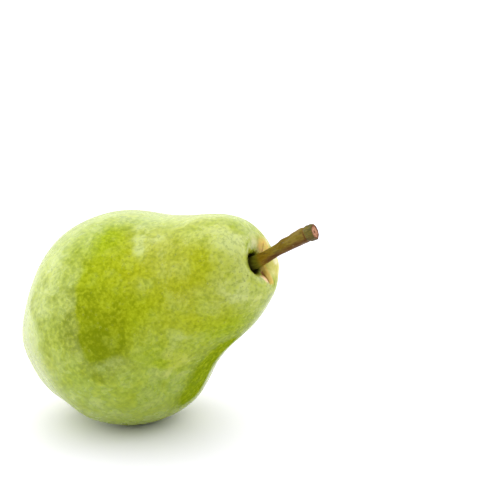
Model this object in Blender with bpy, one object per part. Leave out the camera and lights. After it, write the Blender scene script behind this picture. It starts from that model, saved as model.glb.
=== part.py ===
"""One dessert pear lying on its side: the fleshy body, the woody stem and the dried calyx.

The pear is shaped upright in its own frame, in millimetres. Z runs up its core from the calyx
end to the stem, X is the side that ends up on top, and Y is the side that ends up in front.
It is then laid down, leaning, on the small flat spot that a pear has under its weight.
"""

import math

import bmesh
import bpy
import numpy as np
from mathutils import Matrix, Vector, noise

MM = 0.001

# The way the pear lies: its core rises this far above the table and turns this far from +X.
CORE_RISE_DEG = 24.0
CORE_TURN_DEG = -27.0
REST_SPOT_DEPTH = 1.1

# Control rings of the body: height up the core, radius, and how far the ring's centre lies
# towards the top side. A smooth curve runs through them, just inside the corners.
BODY_RINGS = (
    (4.0, 0.0, -3.6),  # middle of the calyx basin
    (2.5, 5.0, -3.6),
    (-1.0, 9.0, -3.6),  # rim of the basin
    (2.0, 18.2, -3.4),
    (12.0, 26.3, -2.3),
    (24.5, 37.3, -2.1),
    (38.0, 39.6, -1.9),  # belly
    (52.0, 37.8, -1.3),
    (64.5, 28.2, 1.4),
    (76.5, 23.8, 1.9),  # neck
    (87.0, 21.0, 2.7),
    (96.0, 15.7, 3.8),
    (100.0, 10.9, 2.3),  # shoulder round the stem
    (99.4, 6.4, 2.5),
    (97.0, 4.1, 2.5),  # mouth of the pit
    (94.0, 3.2, 2.5),
    (90.0, 2.9, 2.5),
    (87.5, 2.7, 2.5),
    (87.0, 0.0, 2.5),  # floor of the stem's socket
)
BODY_ROWS = 56
BODY_SIDES = 64
# Rows lie closer together where the rings are small: the distance between two is in proportion
# to the radius plus this. The profile is measured at this many places to find them.
ROW_SPACING_EASE = 11.0
PROFILE_SAMPLES = 2000

# The body isn't quite round: five faint ribs at the base, and a slightly three-sided belly.
RIB_COUNT = 5
RIB_SHARE = 0.022
RIB_PHASE = 0.6
RIB_REACH = 20.0
BELLY_SIDES = 3
BELLY_SHARE = 0.008
BELLY_PHASE = 1.9

# Swellings and hollows of the skin: middle (X, Y, Z), height and reach. Hollows are negative.
SWELLINGS = (
    ((-0.8, -10.0, 98.8), 0.7, 3.4),  # far lip beside the stem
    ((2.0, 7.5, 97.0), -0.9, 4.5),  # near lip, lower
    ((3.2, 3.8, 96.8), -0.9, 2.2),  # pit wider on that side
    ((6.4, -0.8, 96.8), 1.1, 2.4),  # pit narrower over the stem
    ((-3.9, 2.6, 99.2), 0.6, 2.2),  # pad under the fold
    ((9.0, -4.0, 98.0), 0.3, 4.0),
    ((-31.5, -10.0, 58.5), -0.9, 6.5),  # flatter below the neck
    ((-29.5, 20.0, 21.5), 0.5, 6.5),  # corner low on the base
    ((-21.0, 22.0, 14.0), -0.4, 8.0),  # flatter beside it
)

# The fold that runs from the pit over the lip, from its inner to its outer end.
FOLD_START = (-1.0, -2.3, 97.0)
FOLD_END = (-5.6, -1.0, 99.9)
FOLD_DEPTH = 1.2
FOLD_REACH = 0.9

# The socket stays even this far from its floor, then the unevenness comes in over the blend.
SOCKET_REACH = 8.0
SOCKET_BLEND = 3.5

# Slow unevenness that every pear has all over.
WAVE_HEIGHT = 0.3
WAVE_LENGTH = 24.0

# The stem's centre line from its foot in the socket to its cut end, with its radius.
STEM_LINE = (
    (2.5, 0.0, 87.8, 2.15),
    (2.5, 0.0, 91.0, 2.25),
    (2.5, -0.3, 95.0, 2.45),
    (2.6, -0.7, 99.0, 2.3),
    (3.45, -0.7, 103.5, 1.95),
    (4.35, -0.4, 108.5, 2.15),
    (5.1, 0.0, 113.0, 2.4),
    (5.75, 0.3, 117.5, 2.6),
    (6.1, 0.4, 120.5, 2.75),
    (6.0, 0.5, 122.2, 2.85),
    (5.9, 0.5, 123.0, 2.65),
    (5.9, 0.5, 123.2, 2.3),
)
STEM_ROWS_PER_RING = 4
STEM_SIDES = 28
STEM_RIDGES = 6
STEM_RIDGE_HEIGHT = 0.1
STEM_RIDGE_TWIST = 0.9
STEM_BARK_HEIGHT = 0.16
STEM_BARK_LENGTH = 2.6
STEM_COLLAR_AT = 120.0
STEM_COLLAR_DEPTH = 0.28
STEM_COLLAR_REACH = 0.55
BUD_SCAR = (5.6, 0.6, 110.4)
BUD_SCAR_HEIGHT = 0.75
BUD_SCAR_REACH = 1.3
# The bark's unevenness comes in over this height, from the mouth of the pit up.
BARK_FREE_AT = 97.0
BARK_FREE_BLEND = 3.0
# Rings of the cut face: share of the rim's radius, and rise above the rim.
CUT_FACE_RINGS = ((0.82, 0.12), (0.62, -0.18), (0.3, -0.3))

# The calyx is a small dry cup with five curled sepals and the stubs of the stamens.
CALYX_CENTRE = (-3.6, 0.0)
CALYX_CUP = (
    (0.0, 3.55),
    (1.6, 3.1),
    (3.1, 2.35),
    (3.5, 1.6),
    (2.9, 1.0),
    (2.1, 1.35),
    (1.5, 2.2),
    (0.0, 2.5),
)
CALYX_CUP_SIDES = 30
SEPAL_COUNT = 5
SEPAL_LINE = (
    (2.2, 1.75, 2.6),
    (3.5, 1.05, 3.3),
    (4.8, 0.3, 2.9),
    (5.9, -0.6, 2.1),
    (6.4, -1.6, 1.2),
    (6.1, -2.4, 0.6),
)
SEPAL_THICKNESS = 0.75
SEPAL_ROWS = 16
SEPAL_CROSS_POINTS = 8
SEPAL_CUP = 0.5
SEPAL_DROP = 0.4
SEPAL_TURN_SPREAD = 0.12
SEPAL_CURLS = (-0.12, 0.16)
SEPAL_WIDTHS = (0.9, 1.1)
STAMEN_COUNT = 9
STAMEN_CIRCLE = 1.15
STAMEN_FOOT = 2.9
STAMEN_LENGTH = 3.0
STAMEN_RADIUS = 0.34
STAMEN_SIDES = 5
# Share of the stamen's length, and share of its radius there: a thin stalk with a small head.
STAMEN_PROFILE = ((0.0, 1.0), (0.7, 0.75), (0.85, 1.35), (1.0, 0.8))
STAMEN_TURN_SPREAD = 0.2
STAMEN_LEANS = (-0.15, 0.3)
STAMEN_LENGTHS = (0.75, 1.0)
CALYX_SEED = 11

SHARP_ANGLE_DEG = 50.0
SKIN_COLOUR = (0.35, 0.42, 0.03, 1.0)
SKIN_ROUGHNESS = 0.4
BARK_COLOUR = (0.16, 0.12, 0.04, 1.0)
BARK_ROUGHNESS = 0.65
SEPAL_COLOUR = (0.13, 0.08, 0.04, 1.0)
SEPAL_ROUGHNESS = 0.8


def smooth_line(points, places):
    """A uniform cubic B-spline along the points, at these places between 0 and 1."""
    points = np.asarray(points, float)
    before = 2 * points[0] - points[1]
    after = 2 * points[-1] - points[-2]
    points = np.vstack([before, points, after])
    spans = len(points) - 3
    place = np.asarray(places) * spans
    span = np.minimum(place.astype(int), spans - 1)
    t = (place - span)[:, None]
    weights = (
        (1 - t) ** 3 / 6,
        (3 * t**3 - 6 * t**2 + 4) / 6,
        (-3 * t**3 + 3 * t**2 + 3 * t + 1) / 6,
        t**3 / 6,
    )
    return sum(w * points[span + i] for i, w in enumerate(weights))


def grid_normals(grid):
    """Outward unit normals of a grid of rings, rows going up and columns going round."""
    up = np.gradient(grid, axis=0)
    round_ = np.roll(grid, -1, axis=1) - np.roll(grid, 1, axis=1)
    normal = np.cross(round_, up)
    length = np.linalg.norm(normal, axis=-1, keepdims=True)
    return normal / np.maximum(length, 1e-9)


def waves(points, length):
    """Smooth noise from about -1 to 1 at each point, with bumps about this long."""
    flat = points.reshape(-1, 3) / length
    values = [noise.noise(Vector(p)) for p in flat]
    return np.array(values).reshape(points.shape[:-1])


def bump(points, centre, reach):
    """A rounded hump that is 1 at the centre and fades out at twice the reach."""
    distance = np.linalg.norm(points - np.array(centre), axis=-1)
    return np.exp(-((distance / reach) ** 2))


def groove(points, start, end, reach):
    """A rounded groove that is 1 along the line from start to end."""
    start = np.array(start)
    along = np.array(end) - start
    share = np.clip((points - start) @ along / (along @ along), 0, 1)
    nearest = start + share[..., None] * along
    distance = np.linalg.norm(points - nearest, axis=-1)
    return np.exp(-((distance / reach) ** 2))


def body_relief(points):
    """Height of the skin's unevenness at each point, in millimetres."""
    height = WAVE_HEIGHT * waves(points, WAVE_LENGTH)
    for centre, swell, reach in SWELLINGS:
        height += swell * bump(points, centre, reach)
    height -= FOLD_DEPTH * groove(points, FOLD_START, FOLD_END, FOLD_REACH)
    return height


def body_places(rows):
    """Where along the body's curve its rows lie, between 0 and 1."""
    fine = np.linspace(0, 1, PROFILE_SAMPLES)
    curve = smooth_line(BODY_RINGS, fine)
    step = np.linalg.norm(np.diff(curve[:, :2], axis=0), axis=1)
    share = step / (curve[1:, 1] + ROW_SPACING_EASE)
    passed = np.concatenate([[0], np.cumsum(share)])
    return np.interp(np.linspace(0, passed[-1], rows), passed, fine)


def body_grid(rows, sides):
    """Points of the skin, from the middle of the calyx basin to the floor of the socket."""
    height, radius, shift = smooth_line(BODY_RINGS, body_places(rows)).T[:, :, None]
    angle = np.linspace(0, 2 * math.pi, sides, endpoint=False)[None, :]
    ribs = RIB_SHARE * np.exp(-((height / RIB_REACH) ** 2)) * np.cos(RIB_COUNT * angle + RIB_PHASE)
    belly = BELLY_SHARE * np.cos(BELLY_SIDES * angle + BELLY_PHASE)
    radius = radius * (1 + ribs + belly)
    x = shift + radius * np.cos(angle)
    y = radius * np.sin(angle)
    grid = np.stack([x, y, height + 0 * angle], axis=-1)
    relief = body_relief(grid)
    from_socket = np.linalg.norm(grid - grid[-1, 0], axis=-1)
    relief *= np.clip((from_socket - SOCKET_REACH) / SOCKET_BLEND, 0, 1)
    return grid + grid_normals(grid) * relief[..., None]


def stem_frames(line):
    """Two unit directions across the stem at each point of its line."""
    ahead = np.gradient(line[:, :3], axis=0)
    ahead /= np.linalg.norm(ahead, axis=1, keepdims=True)
    across = np.cross(np.array([0.0, 1.0, 0.0]), ahead)
    across /= np.linalg.norm(across, axis=1, keepdims=True)
    return across, np.cross(ahead, across), ahead


def stem_grid(rows, sides):
    """Points of the bark from the foot to the middle of the cut face."""
    line = smooth_line(STEM_LINE, np.linspace(0, 1, rows))
    across, side, ahead = stem_frames(line)
    angle = np.linspace(0, 2 * math.pi, sides, endpoint=False)[None, :, None]
    outward = np.cos(angle) * across[:, None] + np.sin(angle) * side[:, None]
    grid = line[:, None, :3] + line[:, None, 3:] * outward
    height = line[:, None, 2]
    turn = angle[..., 0] * STEM_RIDGES + STEM_RIDGE_TWIST * height / STEM_RIDGES
    relief = STEM_RIDGE_HEIGHT * np.cos(turn)
    relief = relief + STEM_BARK_HEIGHT * waves(grid, STEM_BARK_LENGTH)
    relief -= STEM_COLLAR_DEPTH * np.exp(-(((height - STEM_COLLAR_AT) / STEM_COLLAR_REACH) ** 2))
    relief += BUD_SCAR_HEIGHT * bump(grid, BUD_SCAR, BUD_SCAR_REACH)
    free = np.clip((height - BARK_FREE_AT) / BARK_FREE_BLEND, 0, 1)
    grid = grid + outward * (relief * free)[..., None]
    rim = grid[-1]
    middle = rim.mean(axis=0)
    face = [middle + share * (rim - middle) + rise * ahead[-1] for share, rise in CUT_FACE_RINGS]
    return np.concatenate([grid, np.array(face)])


def solid_of_rings(grid):
    """A closed bmesh of rings of points, with each end closed on the ring's middle."""
    bm = bmesh.new()
    rows, sides = grid.shape[:2]
    rings = [[bm.verts.new(p * MM) for p in ring] for ring in grid]
    for low, high in zip(rings, rings[1:]):
        for i in range(sides):
            j = (i + 1) % sides
            bm.faces.new((low[i], low[j], high[j], high[i]))
    foot = bm.verts.new(grid[0].mean(axis=0) * MM)
    head = bm.verts.new(grid[-1].mean(axis=0) * MM)
    for i in range(sides):
        j = (i + 1) % sides
        bm.faces.new((rings[0][j], rings[0][i], foot))
        bm.faces.new((rings[-1][i], rings[-1][j], head))
    return bm


def lying():
    """The turn from the pear's own frame to the way it lies on the table."""
    rise = math.radians(CORE_RISE_DEG)
    turn = math.radians(CORE_TURN_DEG)
    core = Vector((math.cos(rise) * math.cos(turn), math.cos(rise) * math.sin(turn), math.sin(rise)))
    top = (Vector((0, 0, 1)) - core * core.z).normalized()
    front = core.cross(top)
    return Matrix((top, front, core)).transposed()


def cut_rest_spot(bm, turn):
    """Flattens the underside, square to the table, by the depth of the rest spot."""
    down = turn.transposed() @ Vector((0, 0, -1))
    deepest = max(vertex.co.dot(down) for vertex in bm.verts)
    plane = down * (deepest - REST_SPOT_DEPTH * MM)
    everything = bm.verts[:] + bm.edges[:] + bm.faces[:]
    cut = bmesh.ops.bisect_plane(
        bm, geom=everything, plane_co=plane, plane_no=down, clear_outer=True
    )
    edges = [item for item in cut["geom_cut"] if isinstance(item, bmesh.types.BMEdge)]
    bmesh.ops.contextual_create(bm, geom=edges)


def skin_material():
    return plain_material("skin", SKIN_COLOUR, SKIN_ROUGHNESS)


def bark_material():
    return plain_material("stem_bark", BARK_COLOUR, BARK_ROUGHNESS)


def sepal_material():
    return plain_material("dry_calyx", SEPAL_COLOUR, SEPAL_ROUGHNESS)


def plain_material(name, colour, roughness):
    material = bpy.data.materials.new(name)
    material.use_nodes = True
    surface = material.node_tree.nodes["Principled BSDF"]
    surface.inputs["Base Color"].default_value = colour
    surface.inputs["Roughness"].default_value = roughness
    surface.inputs["Metallic"].default_value = 0.0
    return material


def add_object(name, bm, material):
    """Makes a named object of the bmesh, facing outwards and shaded smooth."""
    bmesh.ops.recalc_face_normals(bm, faces=bm.faces[:])
    if bm.calc_volume(signed=True) < 0:
        bmesh.ops.reverse_faces(bm, faces=bm.faces[:])
    mesh = bpy.data.meshes.new(name)
    bm.to_mesh(mesh)
    bm.free()
    mesh.shade_smooth()
    mesh.set_sharp_from_angle(angle=math.radians(SHARP_ANGLE_DEG))
    mesh.materials.append(material)
    made = bpy.data.objects.new(name, mesh)
    bpy.context.scene.collection.objects.link(made)
    return made


def add_body(turn):
    """The flesh and skin, with the rest spot under it and the stem's socket in it."""
    bm = solid_of_rings(body_grid(BODY_ROWS, BODY_SIDES)[1:-1])
    cut_rest_spot(bm, turn)
    return add_object("pear_body", bm, skin_material())


def add_stem():
    """The woody stem, clear of the socket all round."""
    rows = STEM_ROWS_PER_RING * (len(STEM_LINE) - 1) + 1
    return add_object("stem", solid_of_rings(stem_grid(rows, STEM_SIDES)), bark_material())


def calyx_cup():
    """The cup, turned about the core, hollow towards the outside."""
    angle = np.linspace(0, 2 * math.pi, CALYX_CUP_SIDES, endpoint=False)
    profile = np.array(CALYX_CUP[1:-1])
    grid = np.empty((len(profile), CALYX_CUP_SIDES, 3))
    grid[..., 0] = CALYX_CENTRE[0] + profile[:, :1] * np.cos(angle)
    grid[..., 1] = CALYX_CENTRE[1] + profile[:, :1] * np.sin(angle)
    grid[..., 2] = profile[:, 1:]
    bm = solid_of_rings(grid)
    ends = sorted(bm.verts, key=lambda v: (v.co.x - CALYX_CENTRE[0] * MM) ** 2 + v.co.y**2)[:2]
    back, front = sorted(ends, key=lambda v: -v.co.z)
    back.co.z = CALYX_CUP[0][1] * MM
    front.co.z = CALYX_CUP[-1][1] * MM
    return bm


def sepal(angle, curl, width_share):
    """One pointed sepal that arches out of the cup and curls away from the basin."""
    line = smooth_line(SEPAL_LINE, np.linspace(0, 1, SEPAL_ROWS))
    turn = np.linspace(0, 2 * math.pi, SEPAL_CROSS_POINTS, endpoint=False)
    grid = np.empty((SEPAL_ROWS, SEPAL_CROSS_POINTS, 3))
    for row, (reach, height, width) in enumerate(line):
        bend = curl * (row / (SEPAL_ROWS - 1)) ** 2
        half = width * width_share / 2
        sideways = half * np.cos(turn)
        arch = SEPAL_CUP * half * np.cos(turn) ** 2
        thick = min(SEPAL_THICKNESS, width) / 2 * np.sin(turn)
        out = reach * math.cos(bend) - height * math.sin(bend)
        away = height * math.cos(bend) - reach * math.sin(bend) * SEPAL_DROP
        grid[row, :, 0] = out + 0 * turn
        grid[row, :, 1] = sideways
        grid[row, :, 2] = away + thick - arch
    spin = np.array(
        ((math.cos(angle), -math.sin(angle), 0), (math.sin(angle), math.cos(angle), 0), (0, 0, 1))
    )
    return solid_of_rings(grid @ spin.T + np.array((*CALYX_CENTRE, 0.0)))


def stamen(angle, lean, length):
    """One dry stub standing in the cup."""
    foot = np.array((STAMEN_CIRCLE * math.cos(angle), STAMEN_CIRCLE * math.sin(angle), STAMEN_FOOT))
    way = np.array((math.cos(angle) * lean, math.sin(angle) * lean, -1.0))
    turn = np.linspace(0, 2 * math.pi, STAMEN_SIDES, endpoint=False)
    across = np.stack([np.cos(turn), np.sin(turn), 0 * turn], axis=-1)
    rings = []
    for share, wide in STAMEN_PROFILE:
        rings.append(foot + share * length * way + STAMEN_RADIUS * wide * across)
    return solid_of_rings(np.array(rings) + np.array((*CALYX_CENTRE, 0.0)))


def calyx_shapes():
    """The sepals and stamens that stand in the cup, each a little different."""
    chance = np.random.default_rng(CALYX_SEED)
    for i in range(SEPAL_COUNT):
        angle = 2 * math.pi * i / SEPAL_COUNT + chance.uniform(-SEPAL_TURN_SPREAD, SEPAL_TURN_SPREAD)
        yield sepal(angle, chance.uniform(*SEPAL_CURLS), chance.uniform(*SEPAL_WIDTHS))
    for i in range(STAMEN_COUNT):
        angle = 2 * math.pi * i / STAMEN_COUNT + chance.uniform(-STAMEN_TURN_SPREAD, STAMEN_TURN_SPREAD)
        lean = chance.uniform(*STAMEN_LEANS)
        yield stamen(angle, lean, STAMEN_LENGTH * chance.uniform(*STAMEN_LENGTHS))


def add_calyx():
    """Cup, sepals and stamens, joined into one dry piece."""
    dry = sepal_material()
    calyx = add_object("calyx", calyx_cup(), dry)
    pieces = bpy.data.collections.new("calyx_pieces")
    bpy.context.scene.collection.children.link(pieces)
    for i, shape in enumerate(calyx_shapes()):
        piece = add_object(f"calyx_piece_{i}", shape, dry)
        bpy.context.scene.collection.objects.unlink(piece)
        pieces.objects.link(piece)
    union = calyx.modifiers.new("join", "BOOLEAN")
    union.operation = "UNION"
    union.operand_type = "COLLECTION"
    union.collection = pieces
    union.solver = "MANIFOLD"
    graph = bpy.context.evaluated_depsgraph_get()
    joined = bpy.data.meshes.new_from_object(calyx.evaluated_get(graph))
    calyx.modifiers.clear()
    calyx.data = joined
    for piece in list(pieces.objects):
        bpy.data.objects.remove(piece)
    bpy.data.collections.remove(pieces)
    return calyx


def lay_down(pieces, turn):
    """Lays the pieces on the table with the origin under the middle of their box."""
    points = np.concatenate(
        [[turn @ vertex.co for vertex in piece.data.vertices] for piece in pieces]
    )
    low, high = points.min(axis=0), points.max(axis=0)
    pear = bpy.data.objects.new("pear", None)
    bpy.context.scene.collection.objects.link(pear)
    place = Matrix.Translation((-(low[0] + high[0]) / 2, -(low[1] + high[1]) / 2, -low[2]))
    pear.matrix_world = place @ turn.to_4x4()
    for piece in pieces:
        piece.parent = pear


def main():
    for old in list(bpy.data.objects):
        bpy.data.objects.remove(old)
    turn = lying()
    lay_down([add_body(turn), add_stem(), add_calyx()], turn)


main()
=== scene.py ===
"""The looks of a green dessert pear lying on white: fine skin, stem and calyx, light and camera."""

import math

import bpy
import numpy as np
from mathutils import Matrix, Vector, noise


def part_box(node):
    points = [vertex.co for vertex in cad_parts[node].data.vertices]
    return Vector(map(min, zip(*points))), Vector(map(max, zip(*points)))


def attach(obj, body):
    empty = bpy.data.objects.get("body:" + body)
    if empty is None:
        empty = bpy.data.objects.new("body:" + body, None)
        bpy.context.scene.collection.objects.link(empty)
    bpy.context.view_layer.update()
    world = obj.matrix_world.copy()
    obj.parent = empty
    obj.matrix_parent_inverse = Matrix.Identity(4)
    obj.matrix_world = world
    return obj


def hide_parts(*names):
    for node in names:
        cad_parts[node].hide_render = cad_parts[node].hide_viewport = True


MM = 0.001

# The way the pear lies and the shape of its body, as in the part's source. Lengths are millimetres and
# places are on the upright pear, with the calyx at its foot. A ring is a height, a radius and a shift.
CORE_RISE_DEG = 24.0
CORE_TURN_DEG = -27.0
BODY_RINGS = (
    (4.0, 0.0, -3.6),
    (2.5, 5.0, -3.6),
    (-1.0, 9.0, -3.6),
    (2.0, 18.2, -3.4),
    (12.0, 26.3, -2.3),
    (24.5, 37.3, -2.1),
    (38.0, 39.6, -1.9),
    (52.0, 37.8, -1.3),
    (64.5, 28.2, 1.4),
    (76.5, 23.8, 1.9),
    (87.0, 21.0, 2.7),
    (96.0, 15.7, 3.8),
    (100.0, 10.9, 2.3),
    (99.4, 6.4, 2.5),
    (97.0, 4.1, 2.5),
    (94.0, 3.2, 2.5),
    (90.0, 2.9, 2.5),
    (87.5, 2.7, 2.5),
    (87.0, 0.0, 2.5),
)
COARSE_ROWS = 56
COARSE_SIDES = 64
PROFILE_SAMPLES = 2000
ROW_SPACING_EASE = 11.0
RIB_COUNT = 5
RIB_SHARE = 0.022
RIB_PHASE = 0.6
RIB_REACH = 20.0
BELLY_SIDES = 3
BELLY_SHARE = 0.008
BELLY_PHASE = 1.9
# Where the skin swells or sinks: middle, how far out, and reach.
SWELLINGS = (
    ((-0.8, -10.0, 98.8), 0.7, 3.4),
    ((2.0, 7.5, 97.0), -0.9, 4.5),
    ((3.2, 3.8, 96.8), -0.9, 2.2),
    ((6.4, -0.8, 96.8), 1.1, 2.4),
    ((-3.9, 2.6, 99.2), 0.6, 2.2),
    ((9.0, -4.0, 98.0), 0.3, 4.0),
    ((-31.5, -10.0, 58.5), -0.9, 6.5),
    ((-29.5, 20.0, 21.5), 0.5, 6.5),
    ((-21.0, 22.0, 14.0), -0.4, 8.0),
)
FOLD_START = (-1.0, -2.3, 97.0)
FOLD_END = (-5.6, -1.0, 99.9)
FOLD_DEPTH = 1.2
FOLD_REACH = 0.9
SOCKET_REACH = 8.0
SOCKET_BLEND = 3.5
WAVE_HEIGHT = 0.3
WAVE_LENGTH = 24.0

# Finer skin than the part's source has: height and length of its pores, and creases that run into the pit.
FINE_ROWS = 290
FINE_SIDES = 320
PORE_WAVES = ((0.05, 7.0), (0.02, 2.2))
PORES_FROM_SOCKET = 9.0
PORES_BLEND = 2.0
PIT_MOUTH = (2.5, 0.0, 98.0)
CREASE_COUNT = 11
CREASE_DEPTH = 0.16
CREASE_AT = 3.4
CREASE_REACH = 3.2
CREASE_LOW = 96.0
CREASE_SHARPNESS = 3
CREASE_WANDER = 0.3
CREASE_WANDER_LENGTH = 3.0
CREASE_WANDER_STRETCH = (1.0, 1.0, 0.4)
REST_EDGE = 0.3

# The stem: middle and radius of its bark from the foot to the cut, and its relief.
STEM_LINE = (
    (2.5, 0.0, 87.8, 2.15),
    (2.5, 0.0, 91.0, 2.25),
    (2.5, -0.3, 95.0, 2.45),
    (2.6, -0.7, 99.0, 2.3),
    (3.45, -0.7, 103.5, 1.95),
    (4.35, -0.4, 108.5, 2.15),
    (5.1, 0.0, 113.0, 2.4),
    (5.75, 0.3, 117.5, 2.6),
    (6.1, 0.4, 120.5, 2.75),
    (6.0, 0.5, 122.2, 2.85),
    (5.9, 0.5, 123.0, 2.65),
    (5.9, 0.5, 123.2, 2.3),
)
STEM_ROWS = 300
STEM_SIDES = 110
STEM_RIDGES = 6
STEM_RIDGE_HEIGHT = 0.1
STEM_RIDGE_TWIST = 0.15
STEM_BARK_HEIGHT = 0.16
STEM_BARK_LENGTH = 2.6
STEM_COLLAR_AT = 120.0
STEM_COLLAR_DEPTH = 0.28
STEM_COLLAR_REACH = 0.55
STEM_COLLAR_STAIN_REACH = 0.4
BUD_SCAR = (5.6, 0.6, 110.4)
BUD_SCAR_HEIGHT = 0.75
BUD_SCAR_REACH = 1.3
BUD_SCAR_STAIN_REACH = 1.1
FURROW_STRETCH = (2.3, 2.3, 0.16)
FURROW_LENGTH = 0.62
FURROW_DEPTH = 0.1
FURROW_LOW = -0.2
FINE_FURROW_STRETCH = (1.0, 1.0, 1.6)
FINE_FURROW_LENGTH = 0.3
FINE_FURROW_HEIGHT = 0.04
KNOB_LENGTH = 0.9
KNOB_HEIGHT = 0.24
KNOB_BLEND = 1.2
BARK_FREE_AT = 97.0
BARK_FREE_BLEND = 3.0
STEM_SEEN_FROM = 95.0
STEM_SEEN_LENGTH = 28.0
# The rings of the cut end: first and last share of the rim, and how many. Then its relief.
CUT_BARK_RINGS = (0.97, 0.8, 5)
CUT_WOOD_RINGS = (0.74, 0.06, 14)
CUT_LIP_AT = 0.93
CUT_LIP_REACH = 0.05
CUT_LIP_HEIGHT = 0.1
CUT_HOLLOW = 0.22
CUT_GRAIN_HEIGHT = 0.16
CUT_GRAIN_LENGTH = 0.5
CUT_GRAIN_EASE = 3.0
PITH_DEPTH = 0.25
PITH_REACH = 0.22

# The calyx: its cup as radius and height, and a sepal as distance out, height and width.
CALYX_CENTRE = (-3.6, 0.0)
CALYX_CUP = (
    (0.0, 3.55),
    (1.6, 3.1),
    (3.1, 2.35),
    (3.5, 1.6),
    (2.9, 1.0),
    (2.1, 1.35),
    (1.5, 2.2),
    (0.0, 2.5),
)
CALYX_CUP_ROWS = 40
CALYX_CUP_SIDES = 96
CALYX_FOLDS = 15
CALYX_FOLD_HEIGHT = 0.1
CALYX_FOLD_RADIUS = 3.5
CALYX_GRAIN_HEIGHT = 0.08
CALYX_GRAIN_LENGTH = 0.7
SEPAL_COUNT = 5
SEPAL_LINE = (
    (2.2, 1.75, 2.6),
    (3.5, 1.05, 3.3),
    (4.8, 0.3, 2.9),
    (5.9, -0.6, 2.1),
    (6.4, -1.6, 1.2),
    (6.1, -2.4, 0.6),
)
SEPAL_ROWS = 70
SEPAL_SIDES = 28
SEPAL_THICKNESS = 0.7
SEPAL_FLATNESS = 0.8
SEPAL_CUP = 0.5
SEPAL_CURL_DROP = 0.4
SEPAL_RAGGED = 0.1
SEPAL_RAGGED_STEP = 0.25
SEPAL_TWIST = 0.1
SEPAL_TWIST_STEP = 0.5
SEPAL_VEINS = 9
SEPAL_VEIN_HEIGHT = 0.05
SEPAL_GRAIN_HEIGHT = 0.07
SEPAL_GRAIN_LENGTH = 0.6
SEPAL_TIP_RELIEF = 0.4
SEPAL_SEED_STEP = 3.7
SEPAL_SEED_SHIFT = 7.0
STAMEN_COUNT = 9
STAMEN_ROWS = 22
STAMEN_SIDES = 12
STAMEN_CIRCLE = 1.15
STAMEN_FOOT = 2.9
STAMEN_LENGTH = 3.0
STAMEN_RADIUS = 0.3
STAMEN_WIDTHS = (1.0, 0.9, 0.7, 0.65, 0.7, 1.4, 1.3, 0.5)
STAMEN_SWING = 0.12
STAMEN_SWING_X = 5.0
STAMEN_SWING_Y = 4.0
CALYX_SEED = 11
# The least and the most of what differs from one sepal or stamen to the next, angles in radians.
SEPAL_TURN = (-0.12, 0.12)
SEPAL_CURL = (-0.12, 0.16)
SEPAL_WIDTH = (0.9, 1.1)
STAMEN_TURN = (-0.2, 0.2)
STAMEN_LEAN = (-0.15, 0.3)
STAMEN_SHARE = (0.75, 1.0)

# The white table, and the light by direction: Z is 1 overhead and 0 at the horizon, Y is 1 at the back
# and -1 on the camera's side, and X is 1 on the right and -1 on the left. The wall is bright. It is
# dimmer overhead, at the back and low on the right, and open and darker on the camera's side.
FLOOR_HALF = 6.0
FLOOR_GAP = 0.0001
FLOOR_COLOURS = ((0.88, 0.87, 0.94), (0.9, 0.89, 0.96))
WALL_LOW = 1.3
WALL_HIGH = 2.75
WALL_RISE = (-0.02, 0.3)
ABOVE_SHARE = 0.72
ABOVE_RISE = (0.4, 0.95)
BACK_SHARE = 0.78
BACK_RISE = (0.3, 0.9)
RIGHT_SHARE = 0.36
RIGHT_SIDE = (0.05, 0.5)
RIGHT_RISE = (0.0, 0.32)
OPEN_LOW = 0.12
OPEN_HIGH = 1.35
OPEN_RISE = (0.0, 0.75)
OPEN_FRONT = (0.25, -0.15)
OPEN_LEFT = (-0.8, -0.68)
# How bright the camera sees the backdrop.
BACKDROP = 1.0

# Where the camera stands, from the middle of the core line, in metres, and its lens in millimetres.
CAMERA_PITCH_DEG = 15.0
CAMERA_RIGHT = 0.0343
CAMERA_UP = 0.0242
CAMERA_BACK = 0.482
CAMERA_LENS = 100.0
CAMERA_SENSOR = 36.0
CORE_MIDDLE = 47.5


def smooth_line(points, places):
    """A uniform cubic B-spline along the points, at these places between 0 and 1."""
    points = np.asarray(points, float)
    before = 2 * points[0] - points[1]
    after = 2 * points[-1] - points[-2]
    points = np.vstack([before, points, after])
    spans = len(points) - 3
    place = np.asarray(places) * spans
    span = np.minimum(place.astype(int), spans - 1)
    t = (place - span)[:, None]
    weights = (
        (1 - t) ** 3 / 6,
        (3 * t**3 - 6 * t**2 + 4) / 6,
        (-3 * t**3 + 3 * t**2 + 3 * t + 1) / 6,
        t**3 / 6,
    )
    return sum(w * points[span + i] for i, w in enumerate(weights))


def grid_normals(grid):
    """Outward unit normals of a grid of rings, rows going up and columns going round."""
    up = np.gradient(grid, axis=0)
    round_ = np.roll(grid, -1, axis=1) - np.roll(grid, 1, axis=1)
    normal = np.cross(round_, up)
    length = np.linalg.norm(normal, axis=-1, keepdims=True)
    return normal / np.maximum(length, 1e-9)


def waves(points, length):
    """Smooth noise from about -1 to 1 at each point, with bumps about this long."""
    flat = points.reshape(-1, 3) / length
    values = [noise.noise(Vector(p)) for p in flat]
    return np.array(values).reshape(points.shape[:-1])


def fade(value, middle, reach):
    """A rounded hump that is 1 where the value is at the middle, and almost 0 twice the reach away."""
    return np.exp(-(((value - middle) / reach) ** 2))


def bump(points, centre, reach):
    """A rounded hump that is 1 at the centre."""
    return fade(np.linalg.norm(points - np.array(centre), axis=-1), 0, reach)


def groove(points, start, end, reach):
    """A rounded groove that is 1 along the line from start to end."""
    start = np.array(start)
    along = np.array(end) - start
    share = np.clip((points - start) @ along / (along @ along), 0, 1)
    nearest = start + share[..., None] * along
    return fade(np.linalg.norm(points - nearest, axis=-1), 0, reach)


def round_angles(sides):
    """Even angles once round, in radians."""
    return np.linspace(0, 2 * math.pi, sides, endpoint=False)


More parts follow.
